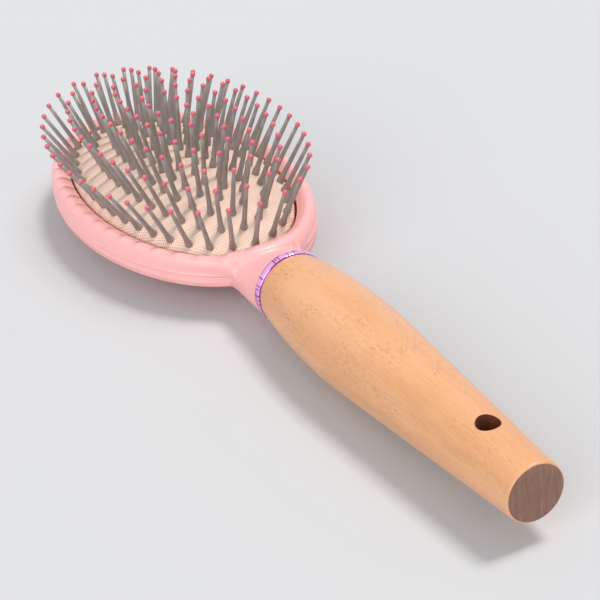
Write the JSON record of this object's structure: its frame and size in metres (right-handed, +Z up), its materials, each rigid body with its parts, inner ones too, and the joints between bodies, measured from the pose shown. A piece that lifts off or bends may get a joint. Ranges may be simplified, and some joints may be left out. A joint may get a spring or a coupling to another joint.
{
  "type": "oval cushion hairbrush",
  "caption": "Oval cushion hairbrush with a moulded head, fanned ball-tipped pins in a domed rubber pad and a turned wooden handle with a hanging hole.",
  "frame": {"origin": "centre of the base of the brush's box, which is under the brush's long axis halfway along it", "axes": "+X towards the end of the handle along the brush's axis, +Z up through the pins, +Y to the left of a hand that holds the handle with the pins up and points the head away"},
  "size_m": [0.23, 0.0656, 0.0399],
  "materials": {
    "pink_plastic": "satin",
    "cushion_rubber": "matte",
    "varnished_wood": "satin",
    "lilac_metal": "polished",
    "pin_plastic": "satin",
    "tip_plastic": "gloss"
  },
  "bodies": {
    "brush": {"head_frame": "pink_plastic", "head_back": "pink_plastic", "ferrule_ring": "lilac_metal", "handle": "varnished_wood", "cushion": "cushion_rubber"},
    "row_outer": {"pins_outer": "pin_plastic", "tips_outer": "tip_plastic"},
    "row_second": {"pins_second": "pin_plastic", "tips_second": "tip_plastic"},
    "row_third": {"pins_third": "pin_plastic", "tips_third": "tip_plastic"},
    "row_fourth": {"pins_fourth": "pin_plastic", "tips_fourth": "tip_plastic"},
    "row_centre": {"pins_centre": "pin_plastic", "tips_centre": "tip_plastic"}
  },
  "joints": [
    {"name": "press_centre", "type": "slide", "parent": "brush", "child": "row_centre", "axis": [0, 0, -1], "range_m": [0, 0.0033], "stiffness_N_per_m": 1500, "deforming": ["cushion"]},
    {"name": "press_fourth", "type": "slide", "parent": "brush", "child": "row_fourth", "axis": [0, 0, -1], "range_m": [0, 0.0029], "stiffness_N_per_m": 1500, "deforming": ["cushion"]},
    {"name": "press_third", "type": "slide", "parent": "brush", "child": "row_third", "axis": [0, 0, -1], "range_m": [0, 0.0024], "stiffness_N_per_m": 1500, "deforming": ["cushion"]},
    {"name": "press_second", "type": "slide", "parent": "brush", "child": "row_second", "axis": [0, 0, -1], "range_m": [0, 0.0017], "stiffness_N_per_m": 1500, "deforming": ["cushion"]},
    {"name": "press_outer", "type": "slide", "parent": "brush", "child": "row_outer", "axis": [0, 0, -1], "range_m": [0, 0.0006], "stiffness_N_per_m": 1500, "deforming": ["cushion"]}
  ],
  "couplings": [
    {"joint": "press_fourth", "follows": "press_centre", "ratio": 0.87},
    {"joint": "press_third", "follows": "press_centre", "ratio": 0.72},
    {"joint": "press_second", "follows": "press_centre", "ratio": 0.5},
    {"joint": "press_outer", "follows": "press_centre", "ratio": 0.18}
  ]
}
